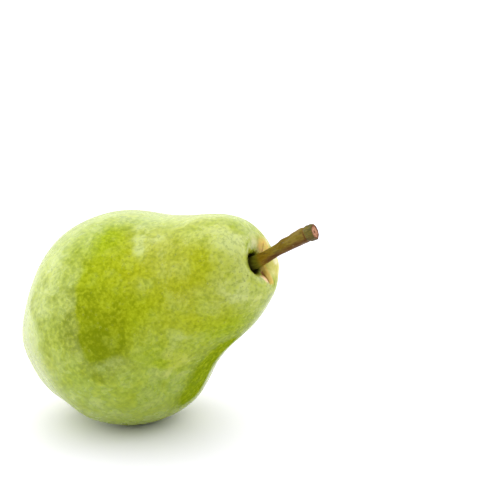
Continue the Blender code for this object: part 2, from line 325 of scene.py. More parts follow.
def away_from_socket(grid, start, blend):
    """0 within this distance of the socket's floor, and 1 beyond the blend."""
    distance = np.linalg.norm(grid - grid[-1, 0], axis=-1)
    return np.clip((distance - start) / blend, 0, 1)


def body_relief(points):
    """How far the skin stands out at each point: soft waves, the swellings and the fold by the stem."""
    height = WAVE_HEIGHT * waves(points, WAVE_LENGTH)
    for centre, swell, reach in SWELLINGS:
        height += swell * bump(points, centre, reach)
    height -= FOLD_DEPTH * groove(points, FOLD_START, FOLD_END, FOLD_REACH)
    return height


def body_places(rows):
    """Places along the body's profile for its rings, closer together where the rings are small."""
    fine = np.linspace(0, 1, PROFILE_SAMPLES)
    curve = smooth_line(BODY_RINGS, fine)
    step = np.linalg.norm(np.diff(curve[:, :2], axis=0), axis=1)
    share = step / (curve[1:, 1] + ROW_SPACING_EASE)
    passed = np.concatenate([[0], np.cumsum(share)])
    return np.interp(np.linspace(0, passed[-1], rows), passed, fine)


def plain_body(rows, sides):
    """Points of the skin before its relief, from the middle of the calyx basin to the socket's floor."""
    height, radius, shift = smooth_line(BODY_RINGS, body_places(rows)).T[:, :, None]
    angle = round_angles(sides)[None, :]
    ribs = RIB_SHARE * fade(height, 0, RIB_REACH) * np.cos(RIB_COUNT * angle + RIB_PHASE)
    belly = BELLY_SHARE * np.cos(BELLY_SIDES * angle + BELLY_PHASE)
    radius = radius * (1 + ribs + belly)
    x = shift + radius * np.cos(angle)
    y = radius * np.sin(angle)
    return np.stack([x, y, height + 0 * angle], axis=-1)


def body_grid(rows, sides):
    """Points of the skin with its relief."""
    grid = plain_body(rows, sides)
    relief = body_relief(grid) * away_from_socket(grid, SOCKET_REACH, SOCKET_BLEND)
    return grid + grid_normals(grid) * relief[..., None]


def turn_matrix():
    """The turn from the pear's own frame to the way it lies on the table."""
    rise = math.radians(CORE_RISE_DEG)
    turn = math.radians(CORE_TURN_DEG)
    core = Vector((math.cos(rise) * math.cos(turn), math.cos(rise) * math.sin(turn), math.sin(rise)))
    top = (Vector((0, 0, 1)) - core * core.z).normalized()
    front = core.cross(top)
    return Matrix((top, front, core)).transposed()


def placing():
    """The matrix from the pear's own frame, in metres, to where the part's body lies."""
    turn = turn_matrix()
    coarse = body_grid(COARSE_ROWS, COARSE_SIDES)[1:-1].reshape(-1, 3) * MM @ np.array(turn).T
    low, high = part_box("pear_body")
    shift = (low.x - coarse[:, 0].min(), low.y - coarse[:, 1].min(), high.z - coarse[:, 2].max())
    return Matrix.Translation(shift) @ turn.to_4x4()


def closed_rings(grid):
    """(points, faces) of a closed solid of rings, each end closed round the middle of its ring."""
    rows, sides = grid.shape[:2]
    index = np.arange(rows * sides).reshape(rows, sides)
    beside = np.roll(index, -1, axis=1)
    quads = np.stack([index[:-1], beside[:-1], beside[1:], index[1:]], axis=-1)
    faces = quads.reshape(-1, 4).tolist()
    foot = rows * sides
    faces += [[int(beside[0, i]), int(index[0, i]), foot] for i in range(sides)]
    faces += [[int(index[-1, i]), int(beside[-1, i]), foot + 1] for i in range(sides)]
    points = np.vstack([grid.reshape(-1, 3), grid[0].mean(axis=0), grid[-1].mean(axis=0)])
    return points, faces


def mesh_of_points(name, points, faces, facts, place):
    """A mesh of points in millimetres on the upright pear, moved into the part's frame.

    It keeps each point's place on the upright pear, in metres, as "own", and the facts of closed rings.
    """
    world = np.array(place)
    mesh = bpy.data.meshes.new(name)
    mesh.from_pydata((points * MM @ world[:3, :3].T + world[:3, 3]).tolist(), [], faces)
    own = mesh.attributes.new("own", "FLOAT_VECTOR", "POINT")
    own.data.foreach_set("vector", (points * MM).astype(np.float32).ravel())
    for fact, values in facts.items():
        ends = [values[0].mean(), values[-1].mean()]
        layer = mesh.attributes.new(fact, "FLOAT", "POINT")
        layer.data.foreach_set("value", np.concatenate([values.ravel(), ends]).astype(np.float32))
    mesh.shade_smooth()
    return mesh


def mesh_of_rings(name, grid, facts, place):
    """A closed mesh of rings of points, with named facts for each point."""
    points, faces = closed_rings(grid)
    return mesh_of_points(name, points, faces, facts, place)


def add_piece(mesh, material):
    """A new object of the scene, made of this mesh in this material."""
    mesh.materials.append(material)
    piece = bpy.data.objects.new(mesh.name, mesh)
    bpy.context.scene.collection.objects.link(piece)
    return piece


class Nodes:
    """Short ways to build a material's nodes."""

    def __init__(self, name):
        self.material = bpy.data.materials.new(name)
        self.material.use_nodes = True
        self.tree = self.material.node_tree
        self.surface = self.tree.nodes["Principled BSDF"]

    def add(self, kind, **settings):
        """A new node with these settings."""
        node = self.tree.nodes.new(kind)
        for key, value in settings.items():
            setattr(node, key, value)
        return node

    def set(self, socket, value):
        """Gives a socket a number, a vector or a colour, or links it to another node."""
        if isinstance(value, bpy.types.NodeSocket):
            self.tree.links.new(value, socket)
        elif hasattr(value, "__len__") and len(value) == 3 and len(socket.default_value) == 4:
            socket.default_value = (*value, 1.0)
        else:
            socket.default_value = value

    def fill(self, node, sockets):
        """Sets a node's sockets by their names."""
        for name, value in sockets.items():
            self.set(node.inputs[name], value)

    def finish(self, sockets):
        """Sets the shader's own sockets by their names."""
        self.fill(self.surface, sockets)

    def fact(self, name):
        """A fact that the mesh keeps for each point."""
        return self.add("ShaderNodeAttribute", attribute_name=name).outputs["Fac"]

    def own(self):
        """The point's place on the upright pear, in metres."""
        return self.add("ShaderNodeAttribute", attribute_name="own").outputs["Vector"]

    def place(self):
        """The point's place in the piece's own coordinates, in metres."""
        return self.add("ShaderNodeTexCoord").outputs["Object"]

    def scaled(self, vector, scale):
        """The place times this scale: less than 1 along an axis stretches what is made from it."""
        node = self.add("ShaderNodeMapping")
        self.fill(node, {"Vector": vector, "Scale": scale})
        return node.outputs["Vector"]

    def noise(self, vector, length, detail=3.0, roughness=0.5, distortion=0.0):
        """Noise from 0 to 1 with spots about this many millimetres long."""
        node = self.add("ShaderNodeTexNoise")
        self.fill(node, {"Vector": vector, "Scale": 1 / (length * MM), "Detail": detail})
        self.fill(node, {"Roughness": roughness, "Distortion": distortion})
        return node.outputs["Fac"]

    def cells(self, vector, length):
        """How far each point lies from the nearest of many scattered middles, about this far apart."""
        node = self.add("ShaderNodeTexVoronoi")
        self.fill(node, {"Vector": vector, "Scale": 1 / (length * MM)})
        return node.outputs["Distance"]

    def range(self, value, low, high, to_low=0.0, to_high=1.0):
        """A smooth change from to_low, where the value is low, to to_high, where it is high."""
        node = self.add("ShaderNodeMapRange", interpolation_type="SMOOTHSTEP")
        self.fill(node, {"Value": value, "From Min": low, "From Max": high})
        self.fill(node, {"To Min": to_low, "To Max": to_high})
        return node.outputs["Result"]

    def maths(self, operation, a, b, clamp):
        """The sum or product of two values, kept between 0 and 1 if clamp says so."""
        node = self.add("ShaderNodeMath", operation=operation, use_clamp=clamp)
        self.set(node.inputs[0], a)
        self.set(node.inputs[1], b)
        return node.outputs[0]

    def times(self, a, b):
        """The product of two values."""
        return self.maths("MULTIPLY", a, b, False)

    def plus(self, a, b, clamp=False):
        """The sum of two values."""
        return self.maths("ADD", a, b, clamp)

    def mix(self, share, a, b):
        """From colour a to colour b by this share."""
        node = self.add("ShaderNodeMix", data_type="RGBA")
        self.set(node.inputs["Factor"], share)
        self.set(node.inputs[6], a)
        self.set(node.inputs[7], b)
        return node.outputs[2]

    def over(self, base, paint, value, low, high, most=1.0):
        """The base with this paint over it: none where the value is low, the most where it is high."""
        return self.mix(self.range(value, low, high, 0.0, most), base, colour(*paint))

    def bumps(self, height, strength, distance, under=None):
        """The normal of a relief this many millimetres high, on top of the normal under it."""
        node = self.add("ShaderNodeBump")
        self.fill(node, {"Strength": strength, "Distance": distance * MM, "Height": height})
        if under is not None:
            self.set(node.inputs["Normal"], under)
        return node.outputs["Normal"]


def colour(red, green, blue):
    """A colour as the eye reads it, 0 to 255, as the light that it stands for."""
    return tuple(
        c / 12.92 if c <= 0.04045 else ((c + 0.055) / 1.055) ** 2.4
        for c in (red / 255, green / 255, blue / 255)
    )


# Where the skin differs: middle in the pear's own frame, reach and strength.
SKIN_ZONES = {
    "deep": (
        ((-2.0, 37.5, 50.0), 11.0, 0.9),
        ((-8.0, 35.0, 51.0), 9.0, 0.4),
        ((14.0, 33.0, 51.0), 7.0, 0.35),
        ((13.0, 35.0, 36.0), 13.0, 0.35),
        ((-30.0, -24.0, 50.0), 22.0, 0.6),
        ((10.0, -37.0, 40.0), 20.0, 0.6),
    ),
    "golden": (
        ((12.0, 18.0, 84.0), 20.0, 0.8),
        ((5.0, 23.0, 81.0), 4.5, 0.7),
        ((16.0, 26.0, 60.0), 15.0, 0.6),
        ((0.0, 38.0, 48.0), 12.0, 0.6),
        ((16.0, -22.0, 66.0), 20.0, 0.6),
    ),
    "green": (
        ((-22.0, 34.0, 30.0), 20.0, 0.7),
        ((20.0, 30.0, 22.0), 16.0, 0.5),
        ((-26.0, 14.0, 62.0), 16.0, 0.6),
        ((0.0, -30.0, 20.0), 22.0, 0.6),
        ((30.0, 0.0, 60.0), 14.0, 0.5),
    ),
    "clear": (
        ((-4.0, 38.0, 49.0), 10.0, 0.9),
        ((5.0, 37.0, 53.0), 11.0, 0.9),
        ((14.6, 33.0, 55.0), 11.0, 0.9),
        ((8.0, 29.0, 64.0), 11.0, 0.9),
        ((-20.0, 25.0, 61.0), 13.0, 0.7),
        ((-14.0, 12.0, 85.0), 12.0, 0.75),
        ((20.0, 24.0, 60.0), 9.0, 0.6),
        ((28.0, 17.0, 57.0), 7.0, 0.8),
        ((10.0, 17.0, 88.0), 7.0, 0.8),
        ((-6.0, 22.5, 76.0), 8.0, 0.6),
        ((-30.0, -24.0, 50.0), 16.0, 0.8),
        ((8.0, -37.0, 44.0), 16.0, 0.8),
    ),
    "pale": (
        ((23.0, 20.5, 62.0), 6.0, 0.5),
        ((-19.5, 18.5, 66.3), 6.0, 0.95),
        ((14.0, 10.0, 96.0), 9.0, 1.1),
        ((-7.0, 5.0, 97.0), 9.0, 0.7),
        ((1.0, 13.0, 97.0), 7.0, 0.7),
        ((9.5, -7.0, 99.6), 4.0, 0.8),
        ((10.0, -14.0, 94.0), 10.0, 0.6),
        ((-3.6, 0.0, 0.0), 17.0, 0.5),
    ),
    # Whitish bloom: partly the skin's wax, partly painted sheen and streaks of reflected light.
    "bloom_and_painted_sheen": (
        ((28.0, 11.0, 64.4), 2.6, 1.2),
        ((24.6, 15.6, 65.9), 2.5, 1.2),
        ((21.0, 19.2, 67.0), 2.2, 1.1),
        ((24.8, 13.0, 69.0), 1.9, 0.8),
        ((22.0, 14.0, 73.5), 2.6, 0.6),
        ((-11.3, 21.0, 73.4), 9.0, 0.2),
        ((9.4, 26.9, 66.7), 5.0, 0.4),
        ((14.0, 10.0, 97.0), 8.0, 0.7),
        ((-3.0, 12.0, 97.0), 8.0, 0.7),
        ((26.0, 26.0, 30.0), 10.0, 0.8),
        ((12.0, 34.0, 25.0), 11.0, 0.7),
        ((-14.0, 22.0, 72.0), 5.0, 0.3),
        ((-24.0, 30.0, 30.0), 14.0, 0.4),
        ((-10.0, -26.0, 70.0), 9.0, 0.6),
    ),
    # Painted shade: darker green low on one side of the belly and up the neck.
    "painted_side_shade": (
        ((-25.0, 5.0, 67.0), 9.0, 1.0),
        ((-33.0, 4.0, 58.0), 8.0, 1.1),
        ((-35.5, 8.0, 52.5), 8.0, 0.5),
        ((-22.0, 6.0, 74.0), 6.0, 0.5),
        ((-19.0, 4.0, 81.0), 8.0, 0.8),
        ((-14.0, 4.0, 91.0), 6.0, 0.45),
    ),
    "lip": (((-1.5, -7.5, 99.6), 4.6, 1.2),),
    # Painted shade round the pit's left lip.
    "shade": (
        ((5.7, 6.3, 99.1), 1.9, 0.75),
        ((4.0, 7.4, 99.1), 1.9, 0.75),
        ((2.3, 7.9, 99.0), 1.9, 0.6),
    ),
    # A pale painted highlight beside the stem and along the neck's top edge.
    "painted_highlight": (
        ((9.4, -0.6, 99.3), 2.8, 0.6),
        ((10.6, -8.2, 99.0), 1.6, 0.3),
        ((8.2, -8.6, 99.3), 1.5, 0.45),
        ((6.4, -9.0, 99.4), 1.4, 0.45),
        ((-0.2, -8.6, 100.0), 1.4, 1.2),
    ),
    "pad": (
        ((-3.1, 1.3, 98.9), 1.9, 1.1),
        ((-4.4, 1.4, 99.5), 1.3, 0.4),
    ),
    "tint": (
        ((5.8, -6.0, 99.2), 3.3, 1.2),
        ((8.4, -3.6, 99.4), 2.4, 0.3),
    ),
    "freckled": (
        ((1.0, 12.0, 98.0), 6.0, 1.0),
        ((-6.0, 10.0, 96.0), 5.0, 0.5),
    ),
}
# Lines on the skin: start, end, reach.
SKIN_LINES = {
    "fold": (FOLD_START, FOLD_END, 0.6),
    "fold_side": ((-0.2, -3.6, 97.2), (-5.6, -1.9, 99.3), 1.35),
    "crack": ((7.5, -5.9, 99.6), (4.8, -5.0, 98.2), 0.28),
}
# The bloom is rubbed off on the photo's side: how far from the base, and down to where.
RUBBED_SLOPE = 0.15
RUBBED_FROM = 42.3
RUBBED_WAVE = 2.5
RUBBED_WAVE_LENGTH = 6.0
RUBBED_LOW = -12.0
RUBBED_NECK_FROM = 54.0
RUBBED_NECK_SLOPE = 1.5
RUBBED_BLEND = 4.5
# The pit: which rows and points lie in it, where its painted shade starts and how deep it grows, and the
# brown ring round its mouth.
PIT_ROWS_FROM = 0.6
PIT_RADIUS = 4.8
PIT_SHADE_FROM = 97.4
PIT_SHADE_DEPTH = 2.7
PIT_RING_AT = 3.6
PIT_RING_REACH = 1.5
CALYX_STAIN_HEIGHT = 2.0
CALYX_STAIN_REACH = 7.0


def rubbed_share(grid):
    """Where the bloom is rubbed off on the photo's side, from 0 to 1."""
    wave = RUBBED_WAVE * waves(grid, RUBBED_WAVE_LENGTH)
    along = grid[..., 2] - RUBBED_SLOPE * grid[..., 0] + wave
    lowest = RUBBED_LOW - RUBBED_NECK_SLOPE * np.clip(grid[..., 2] - RUBBED_NECK_FROM, 0, None)
    past = np.clip((along - RUBBED_FROM) / RUBBED_BLEND, 0, 1)
    return past * np.clip((grid[..., 0] - lowest) / RUBBED_BLEND, 0, 1)


def skin_facts(grid, plain):
    """What the skin's colours depend on, at each point of the finished and of the plain skin."""
    rows = grid.shape[0]
    mouth = np.array(PIT_MOUTH)
    from_core = np.linalg.norm(grid[..., :2] - mouth[:2], axis=-1)
    from_mouth = np.linalg.norm(grid - mouth, axis=-1)
    inside = (np.arange(rows)[:, None] > rows * PIT_ROWS_FROM) & (from_core < PIT_RADIUS)
    # How deep a point lies in the pit: it sets the painted shade there and dulls the sheen.
    depth = np.clip((PIT_SHADE_FROM - grid[..., 2]) / PIT_SHADE_DEPTH, 0, 1)
    facts = {
        "pit_depth": np.where(inside, depth, 0),
        "pit_ring": fade(from_mouth, PIT_RING_AT, PIT_RING_REACH),
        "calyx_near": bump(grid, (*CALYX_CENTRE, CALYX_STAIN_HEIGHT), CALYX_STAIN_REACH),
    }
    for name, zones in SKIN_ZONES.items():
        facts[name] = sum(strength * bump(grid, centre, reach) for centre, reach, strength in zones)
    for name, (start, end, reach) in SKIN_LINES.items():
        facts[name] = groove(plain, start, end, reach)
    facts["clear"] = facts["clear"] * np.where(grid[..., 1] > 0, rubbed_share(grid), 1)
    return facts


def ground_colour(n, patches, blotches):
    """Yellow-green, golden where it ripens, greener near the base, deeper and paler zones, painted shade,
    bloom and painted sheen.
    """
    gold = n.plus(n.fact("golden"), n.range(patches, 0.25, 0.75, -0.35, 0.35))
    base = n.mix(n.range(gold, -0.1, 1.0), colour(149, 168, 20), colour(159, 166, 18))
    green = n.plus(n.fact("green"), n.range(blotches, 0.2, 0.8, -0.5, 0.5))
    base = n.over(base, (132, 157, 28), green, 0.0, 1.0, 0.8)
    deep = n.plus(n.fact("deep"), n.range(blotches, 0.8, 0.2, -0.5, 0.5))
    base = n.over(base, (112, 126, 4), deep, 0.0, 1.1, 0.9)
    pale = n.plus(n.fact("pale"), n.range(blotches, 0.25, 0.8, -0.5, 0.5))
    base = n.over(base, (181, 189, 72), pale, 0.05, 1.0, 0.8)
    # Painted shade, darker green, on one side of the belly and neck.
    base = n.over(base, (104, 124, 8), n.fact("painted_side_shade"), 0.1, 1.1, 0.6)
    # Whitish bloom, partly real and partly painted sheen.
    bloom = n.times(n.fact("bloom_and_painted_sheen"), n.range(blotches, 0.2, 0.7, 0.2, 1.4))
    return n.over(base, (188, 200, 122), bloom, 0.02, 1.0, 0.7)


def grain_colour(n, base, grain, fine):
    """The grain: darker green between paler cells."""
    cells = n.times(n.range(grain, 0.46, 0.7, 0.0, 0.45), n.range(n.fact("deep"), 0.2, 1.0, 1.0, 0.55))
    base = n.mix(cells, base, colour(186, 198, 44))
    base = n.over(base, (103, 122, 3), grain, 0.53, 0.32, 0.42)
    return n.over(base, (186, 196, 66), fine, 0.58, 0.8, 0.15)


def dot_colour(n, base, own, dots):
    """Lenticels, which are small dots, paler round a darker middle, and dark freckles below the stem."""
    thin = n.noise(own, 4.5, 1.0)
    halo = n.times(n.range(dots, 0.34, 0.2), n.range(thin, 0.4, 0.6, 0.0, 0.12))
    base = n.mix(halo, base, colour(190, 196, 100))
    dot = n.times(n.range(dots, 0.17, 0.1), n.range(thin, 0.4, 0.6, 0.1, 0.4))
    base = n.mix(dot, base, colour(84, 98, 8))
    spots = n.cells(own, 1.7)
    freckle = n.times(n.range(spots, 0.19, 0.1), n.range(n.fact("freckled"), 0.2, 0.8, 0.0, 0.5))
    return n.mix(freckle, base, colour(96, 96, 30))


def stem_end_colour(n, base, rough, tint):
    """Yellow lip, russet over the stem, pink pad, brown fold, painted highlight, painted shade in and by
    the pit.
    """
    base = n.over(base, (208, 202, 96), n.fact("lip"), 0.1, 0.9, 0.9)
    base = n.mix(n.times(tint, 0.85), base, colour(228, 188, 92))
    burnt = n.times(n.range(n.fact("tint"), 0.5, 1.2), n.range(rough, 0.5, 0.7, 0.0, 0.45))
    base = n.mix(burnt, base, colour(176, 108, 30))
    base = n.over(base, (150, 88, 22), n.fact("crack"), 0.2, 0.9, 0.8)
    base = n.over(base, (244, 196, 148), n.fact("pad"), 0.15, 0.85, 0.85)
    base = n.over(base, (238, 200, 104), n.fact("fold_side"), 0.15, 0.9, 0.8)
    # The brown line in the fold: partly its own colour, partly painted shade in the crease.
    base = n.over(base, (128, 64, 18), n.fact("fold"), 0.15, 0.85, 0.9)
    ring = n.times(n.fact("pit_ring"), n.range(rough, 0.4, 0.62, 0.1, 0.5))
    base = n.mix(ring, base, colour(108, 100, 26))
    # A pale painted highlight beside the stem and along the neck's edge.
    base = n.over(base, (232, 226, 172), n.fact("painted_highlight"), 0.15, 0.95, 0.8)
    # Painted shade round the pit's left lip, a soft darker green.
    base = n.over(base, (72, 84, 14), n.fact("shade"), 0.1, 1.0, 0.6)
    # Painted shade, near black, that deepens down the pit.
    return n.over(base, (32, 24, 8), n.fact("pit_depth"), 0.0, 0.8, 0.97)


def skin_sheen(n, blotches, grain):
    """The sheen of the bloom: little where it is rubbed off, where shade is painted on one side, and in the
    pit.
    """
    bloom = n.range(n.fact("clear"), 0.1, 0.9, 0.42, 0.03)
    sheen = n.times(bloom, n.range(blotches, 0.2, 0.8, 0.3, 1.9))
    sheen = n.times(sheen, n.range(grain, 0.3, 0.7, 0.75, 1.25))
    sheen = n.times(sheen, n.range(n.fact("painted_side_shade"), 0.0, 1.0, 1.0, 0.0))
    return n.times(sheen, n.range(n.fact("pit_depth"), 0.0, 0.6, 1.0, 0.1))


def skin_material():
    """Satin skin, mottled and finely grained, with russet over the stem and round the calyx."""
    n = Nodes("pear_skin")
    own = n.own()
    patches = n.noise(own, 22, 2.0, 0.5)
    blotches = n.noise(own, 7, 3.0, 0.55, 0.3)
    grain = n.noise(own, 1.3, 3.0, 0.6, 0.3)
    fine = n.noise(own, 0.7, 2.0, 0.6)
    rough = n.noise(own, 1.6, 3.0, 0.65, 0.6)
    dots = n.cells(own, 1.9)
    uneven = n.range(rough, 0.32, 0.6, 0.45, 1.0)
    tint = n.times(n.range(n.fact("tint"), 0.05, 0.95), uneven)
    stain = n.times(n.range(n.fact("calyx_near"), 0.25, 0.9), uneven)
    russet = n.plus(tint, stain, clamp=True)

    base = ground_colour(n, patches, blotches)
    base = grain_colour(n, base, grain, fine)
    base = dot_colour(n, base, own, dots)
    base = stem_end_colour(n, base, rough, tint)
    base = n.mix(n.times(stain, 0.85), base, colour(112, 78, 34))

    normal = n.bumps(blotches, 0.25, 0.35)
    normal = n.bumps(grain, 0.25, 0.08, normal)
    normal = n.bumps(n.range(dots, 0.3, 0.05), 0.3, 0.05, normal)
    normal = n.bumps(n.times(rough, russet), 0.6, 0.2, normal)
    n.finish(
        {
            "Base Color": base,
            "Roughness": n.plus(n.range(blotches, 0.3, 0.7, 0.22, 0.3), n.times(russet, 0.3)),
            "IOR": 1.5,
            "Specular IOR Level": skin_sheen(n, blotches, grain),
            "Subsurface Weight": 0.1,
            "Subsurface Radius": (1.0, 0.9, 0.25),
            "Subsurface Scale": 1.5 * MM,
            "Normal": normal,
        }
    )
    return n.material


def pit_creases(grid):
    """Creases that run into the pit, from 0 to 1 at each point."""
    away = grid - np.array(PIT_MOUTH)
    wander = CREASE_WANDER * waves(grid * CREASE_WANDER_STRETCH, CREASE_WANDER_LENGTH)
    around = np.arctan2(away[..., 1], away[..., 0]) + wander
    from_mouth = np.linalg.norm(away, axis=-1)
    near = fade(from_mouth, CREASE_AT, CREASE_REACH) * (grid[..., 2] > CREASE_LOW)
    return near * np.clip(np.cos(CREASE_COUNT * around), 0, 1) ** CREASE_SHARPNESS


def fine_skin():
    """Points of the skin with its pores and creases."""
    grid = body_grid(FINE_ROWS, FINE_SIDES)
    relief = sum(height * waves(grid, length) for height, length in PORE_WAVES)
    relief = relief - CREASE_DEPTH * pit_creases(grid)
    relief = relief * away_from_socket(grid, PORES_FROM_SOCKET, PORES_BLEND)
    return grid + grid_normals(grid) * relief[..., None]


def settle(grid, place):
    """Presses the underside flat on the table, with a soft edge."""
    world = np.array(place)
    up = world[2, :3]
    height = grid @ up + world[2, 3] / MM
    pressed = (height + np.sqrt(height**2 + REST_EDGE**2)) / 2
    return grid + (pressed - height)[..., None] * up


def add_skin(place):
    """The body's skin. The first and last rings are single points, so the closing faces stand for them."""
    grid = fine_skin()
    facts = skin_facts(grid, plain_body(FINE_ROWS, FINE_SIDES))
    facts = {name: values[1:-1] for name, values in facts.items()}
    mesh = mesh_of_rings("pear_skin", settle(grid, place)[1:-1], facts, place)
    return add_piece(mesh, skin_material())


def bark_relief(grid, outward, height, angle):
    """How far the bark stands out: ridges, the collar, the bud scar, furrows and a knobbly end."""
    relief = STEM_RIDGE_HEIGHT * np.cos(STEM_RIDGES * angle + STEM_RIDGE_TWIST * height)
    relief += STEM_BARK_HEIGHT * waves(grid, STEM_BARK_LENGTH)
    relief -= STEM_COLLAR_DEPTH * fade(height, STEM_COLLAR_AT, STEM_COLLAR_REACH)
    relief += BUD_SCAR_HEIGHT * bump(grid, BUD_SCAR, BUD_SCAR_REACH)
    stretched = np.stack([outward[..., 0], outward[..., 1], height], axis=-1) * FURROW_STRETCH
    relief -= FURROW_DEPTH * np.clip(waves(stretched, FURROW_LENGTH), FURROW_LOW, 1)
    relief += FINE_FURROW_HEIGHT * waves(stretched * FINE_FURROW_STRETCH, FINE_FURROW_LENGTH)
    end = np.clip((height - STEM_COLLAR_AT) / KNOB_BLEND, 0, 1)
    relief += KNOB_HEIGHT * end * waves(grid, KNOB_LENGTH)
    return relief * np.clip((height - BARK_FREE_AT) / BARK_FREE_BLEND, 0, 1)


def stem_grid(rows, sides):
    """Points of the bark from the foot to the rim of the cut face, its facts and the way it ends."""
    line = smooth_line(STEM_LINE, np.linspace(0, 1, rows))
    ahead = np.gradient(line[:, :3], axis=0)
    ahead /= np.linalg.norm(ahead, axis=1, keepdims=True)
    across = np.cross(np.array([0.0, 1.0, 0.0]), ahead)
    across /= np.linalg.norm(across, axis=1, keepdims=True)
    side = np.cross(ahead, across)
    angle = round_angles(sides) + np.zeros((rows, 1))
    height = line[:, 2:3] + np.zeros((1, sides))
    outward = np.cos(angle)[..., None] * across[:, None] + np.sin(angle)[..., None] * side[:, None]
    grid = line[:, None, :3] + line[:, None, 3:] * outward
    relief = bark_relief(grid, outward, height, angle)
    grid = grid + outward * relief[..., None]
    facts = {
        "up_stem": (height - STEM_SEEN_FROM) / STEM_SEEN_LENGTH,
        "under": -np.cos(angle),
        "scar": bump(grid, BUD_SCAR, BUD_SCAR_STAIN_REACH),
        "collar": fade(height, STEM_COLLAR_AT, STEM_COLLAR_STAIN_REACH),
        "face": 0 * height,
    }
    return grid, facts, ahead[-1]


def cut_face(rim, ahead):
    """Rings of points from the rim of the cut to its middle: a bark lip, wood, and a sunken pith."""
    middle = rim.mean(axis=0)
    shares = np.concatenate([np.linspace(*CUT_BARK_RINGS), np.linspace(*CUT_WOOD_RINGS)])
    rings = []
    for share in shares:
        ring = middle + share * (rim - middle)
        relief = CUT_GRAIN_HEIGHT * waves(ring, CUT_GRAIN_LENGTH) * min(1.0, share * CUT_GRAIN_EASE)
        relief += CUT_LIP_HEIGHT * fade(share, CUT_LIP_AT, CUT_LIP_REACH)
        relief -= CUT_HOLLOW * math.sqrt(1 - share)
        relief -= PITH_DEPTH * fade(share, 0, PITH_REACH)
        rings.append(ring + relief[:, None] * ahead)
    return np.array(rings), np.repeat(shares[:, None], len(rim), axis=1)


def bark_colour(n, own, fibre, patches, grain):
    """Olive-brown bark, green at its foot, shade painted in the pit, red-brown and painted shade
    underneath, with fibres, spots, scar and collar.
    """
    up = n.fact("up_stem")
    base = n.mix(n.range(patches, 0.35, 0.65), colour(108, 86, 8), colour(130, 118, 40))
    base = n.over(base, (140, 108, 6), up, 0.5, 0.14, 0.85)
    base = n.over(base, (104, 104, 16), up, 0.2, 0.1)
    # Darker red-brown underneath: partly the bark's own colour, partly painted shade.
    under = n.times(n.range(n.fact("under"), 0.0, 0.6), n.range(up, 0.1, 0.3))
    base = n.mix(n.times(under, 0.75), base, colour(80, 42, 20))
    base = n.over(base, (66, 44, 14), fibre, 0.52, 0.36, 0.5)
    base = n.over(base, (158, 144, 84), fibre, 0.56, 0.74, 0.4)
    red = n.times(n.range(patches, 0.45, 0.7), n.range(up, 0.35, 0.8, 0.0, 0.5))
    base = n.mix(red, base, colour(112, 66, 44))
    spots = n.cells(n.scaled(own, (1.0, 1.0, 0.6)), 1.3)
    base = n.over(base, (160, 150, 112), spots, 0.16, 0.06, 0.45)
    base = n.over(base, (140, 132, 112), n.fact("scar"), 0.3, 0.9, 0.5)
    collar = n.times(n.range(n.fact("collar"), 0.3, 0.9), n.range(patches, 0.35, 0.6, 0.2, 0.7))
    base = n.mix(collar, base, colour(92, 44, 22))
    knob = n.times(n.range(up, 0.88, 0.93), n.range(grain, 0.35, 0.62, 0.35, 1.0))
    base = n.mix(n.times(knob, 0.75), base, colour(80, 82, 44))
    # Painted shade where the stem sinks into the pit.
    return n.over(base, (40, 36, 8), up, 0.12, 0.0, 0.9)


def wood_colour(n, own, grain):
    """The cut end: pink-tan wood round a darker pith, in a red-brown rim."""
    face = n.fact("face")
    fibres = n.noise(own, 0.5, 3.0, 0.6)
    wood = n.mix(n.range(fibres, 0.35, 0.65), colour(200, 148, 114), colour(142, 94, 64))
    wood = n.over(wood, (92, 52, 28), face, 0.3, 0.18, 0.7)
    rim = n.mix(n.range(grain, 0.4, 0.6), colour(70, 30, 18), colour(112, 62, 34))
    return n.mix(n.range(face, 0.74, 0.86), wood, rim)


def bark_material():
    """Dull furrowed bark, with the wood of the cut end."""
    n = Nodes("stem_bark")
    own = n.own()
    fibre = n.noise(n.scaled(own, (1.0, 1.0, 0.2)), 0.6, 4.0, 0.6)
    patches = n.noise(n.scaled(own, (1.0, 1.0, 0.5)), 3.2, 3.0, 0.55)
    grain = n.noise(own, 0.6, 3.0, 0.6)
    bark = bark_colour(n, own, fibre, patches, grain)
    cut = n.range(n.fact("face"), 0.001, 0.01)
    normal = n.bumps(fibre, 0.4, 0.15)
    normal = n.bumps(grain, 0.4, 0.08, normal)
    n.finish(
        {
            "Base Color": n.mix(cut, bark, wood_colour(n, own, grain)),
            "Roughness": n.range(fibre, 0.3, 0.7, 0.45, 0.7),
            "IOR": 1.4,
            "Specular IOR Level": 0.15,
            "Normal": normal,
        }
    )
    return n.material


def add_stem(place):
    """The bark, closed by the cut face, whose points take the facts of the rim and their own shares."""
    grid, facts, ahead = stem_grid(STEM_ROWS, STEM_SIDES)
    face, shares = cut_face(grid[-1], ahead)
    values = {}
    for fact, bark in facts.items():
        filling = shares if fact == "face" else np.repeat(bark[-1:], len(face), axis=0)
        values[fact] = np.concatenate([bark, filling])
    mesh = mesh_of_rings("stem_bark", np.concatenate([grid, face]), values, place)
    return add_piece(mesh, bark_material())


def calyx_material():
    """Dull brown, dry and papery."""
    n = Nodes("dry_calyx")
    own = n.own()
    dry = n.noise(own, 1.2, 4.0, 0.6)
    fibre = n.noise(n.scaled(own, (1.0, 1.0, 0.4)), 0.4, 3.0, 0.6)
    base = n.mix(n.range(dry, 0.35, 0.65), colour(60, 42, 26), colour(122, 92, 58))
    n.finish(
        {
            "Base Color": n.over(base, (156, 126, 84), fibre, 0.55, 0.7, 0.6),
            "Roughness": n.range(dry, 0.3, 0.7, 0.7, 0.9),
            "Normal": n.bumps(fibre, 0.7, 0.15),
        }
    )
    return n.material


